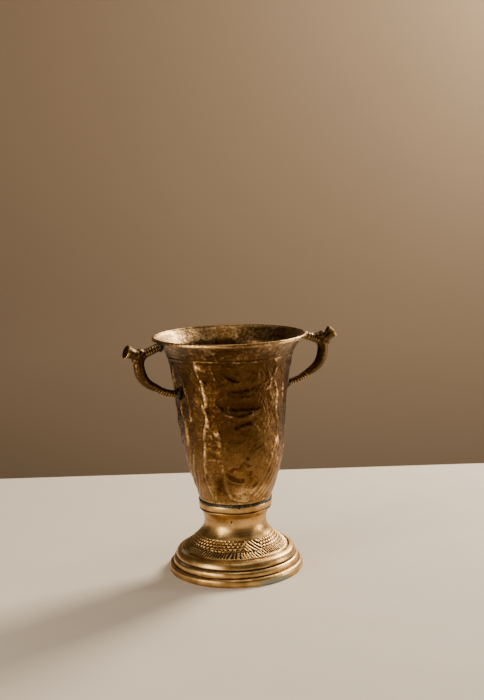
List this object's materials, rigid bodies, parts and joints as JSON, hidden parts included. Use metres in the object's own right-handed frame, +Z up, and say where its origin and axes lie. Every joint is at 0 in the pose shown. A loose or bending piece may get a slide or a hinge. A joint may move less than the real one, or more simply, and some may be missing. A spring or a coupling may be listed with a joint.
{
  "type": "footed two-handled brass vase",
  "caption": "Small footed brass beaker vase with a flared mouth, turned waist, stepped round base and two soldered side handles with flared spurs.",
  "frame": {"origin": "centre of the flat underside of the plinth, on the surface that the vase stands on", "axes": "+Z up along the axis of the cup and foot; the handles lie 4 and 8 degrees forward of the X axis; -Y is the front"},
  "size_m": [0.1425, 0.0966, 0.1507],
  "materials": {
    "beaten_brass": "beaten and chased sheet brass, browned by age",
    "turned_brass": "cast and turned brass, worn golden on the high lines",
    "cast_brass": "cast and filed brass under a near-black patina",
    "solder": "dull blackened solder with a grey-green bloom"
  },
  "bodies": {
    "root": {"vase_body": "beaten_brass", "foot_dome": "turned_brass", "plinth_ring": "turned_brass", "handle_left": "cast_brass", "handle_right": "cast_brass", "solder_cup_seam": "solder", "solder_plinth_seam": "solder", "solder_left_upper": "solder", "solder_left_lower": "solder", "solder_right_upper": "solder", "solder_right_lower": "solder"}
  },
  "joints": []
}
